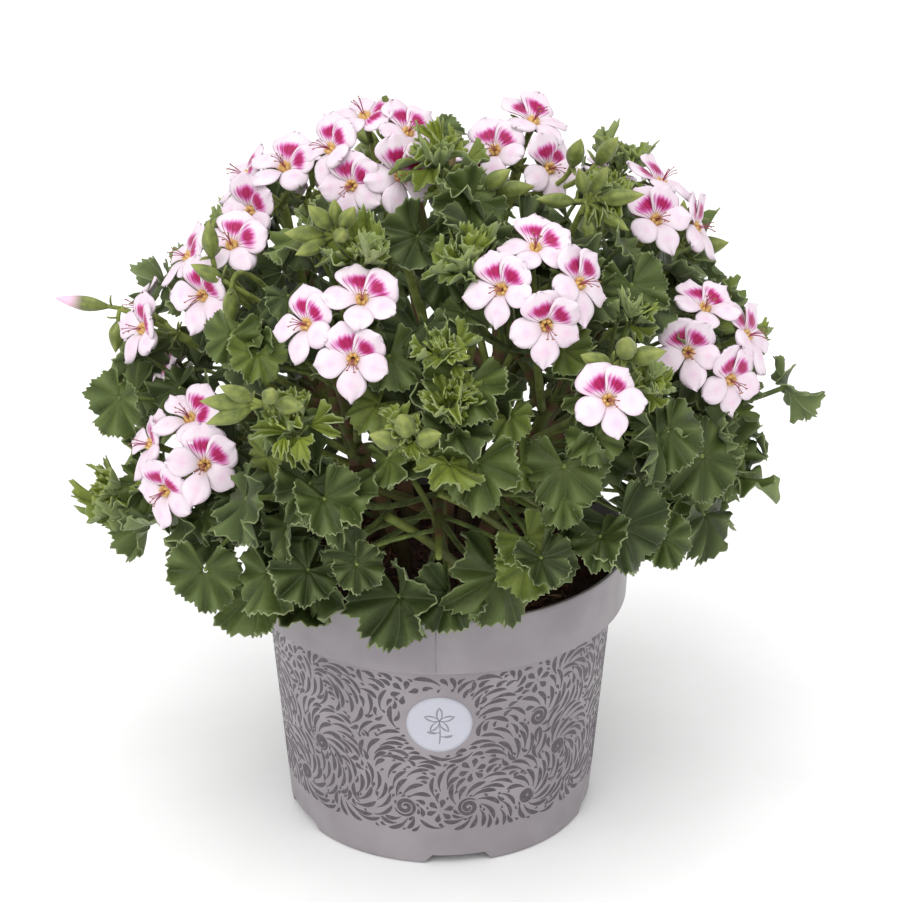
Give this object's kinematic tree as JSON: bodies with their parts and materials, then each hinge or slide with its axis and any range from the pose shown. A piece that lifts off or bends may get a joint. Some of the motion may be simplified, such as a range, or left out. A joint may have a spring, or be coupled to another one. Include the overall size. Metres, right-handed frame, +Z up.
{
  "type": "potted geranium",
  "caption": "Bushy flowering geranium with white and magenta flowers in a round grey plastic nursery pot filled with growing medium.",
  "frame": {"origin": "middle of the foot ring's underside, on the surface that the pot stands on, below the middle of the whole plant", "axes": "+Z up along the pot's axis, -Y towards the front of the plant, +X to its right as seen from the front"},
  "size_m": [0.2381, 0.2186, 0.2621],
  "materials": {
    "pot": "satin injection-moulded polypropylene, mid grey, printed with darker scrollwork",
    "growing_medium": "dark brown peat with fibres, crumbly and matte",
    "stem": "green to brown stem, finely hairy",
    "leaf": "mid to dark green leaf, veined, softly hairy, with a paler toothed edge",
    "petal": "white to pale pink petals with magenta blotches and dark veins, soft sheen",
    "bud": "yellow-green hairy bud"
  },
  "bodies": {
    "root": {"bud_cluster_1": "bud", "bud_cluster_2": "bud", "bud_cluster_3": "bud", "bud_cluster_4": "bud", "bud_cluster_5": "bud", "bud_cluster_6": "bud", "flower_head_1": "petal", "flower_head_2": "petal", "flower_head_3": "petal", "flower_head_4": "petal", "flower_head_5": "petal", "flower_head_6": "petal", "flower_head_7": "petal", "flower_head_8": "petal", "flower_head_9": "petal", "flower_head_10": "petal", "flower_head_11": "petal", "flower_head_12": "petal", "flower_head_13": "petal", "flower_head_14": "petal", "flower_head_15": "petal", "growing_medium": "growing_medium", "leaf_1": "leaf", "leaf_2": "leaf", "leaf_3": "leaf", "leaf_4": "leaf", "leaf_5": "leaf", "leaf_6": "leaf", "leaf_7": "leaf", "leaf_8": "leaf", "leaf_9": "leaf", "leaf_10": "leaf", "leaf_11": "leaf", "leaf_12": "leaf", "leaf_13": "leaf", "leaf_14": "leaf", "leaf_15": "leaf", "leaf_16": "leaf", "leaf_17": "leaf", "leaf_18": "leaf", "leaf_19": "leaf", "leaf_20": "leaf", "leaf_21": "leaf", "leaf_22": "leaf", "leaf_23": "leaf", "leaf_24": "leaf", "leaf_25": "leaf", "leaf_26": "leaf", "leaf_27": "leaf", "leaf_28": "leaf", "pot": "pot", "stem_1": "stem", "stem_2": "stem", "stem_3": "stem", "stem_4": "stem", "stem_5": "stem", "stem_6": "stem", "stem_7": "stem", "stem_8": "stem"}
  },
  "joints": []
}
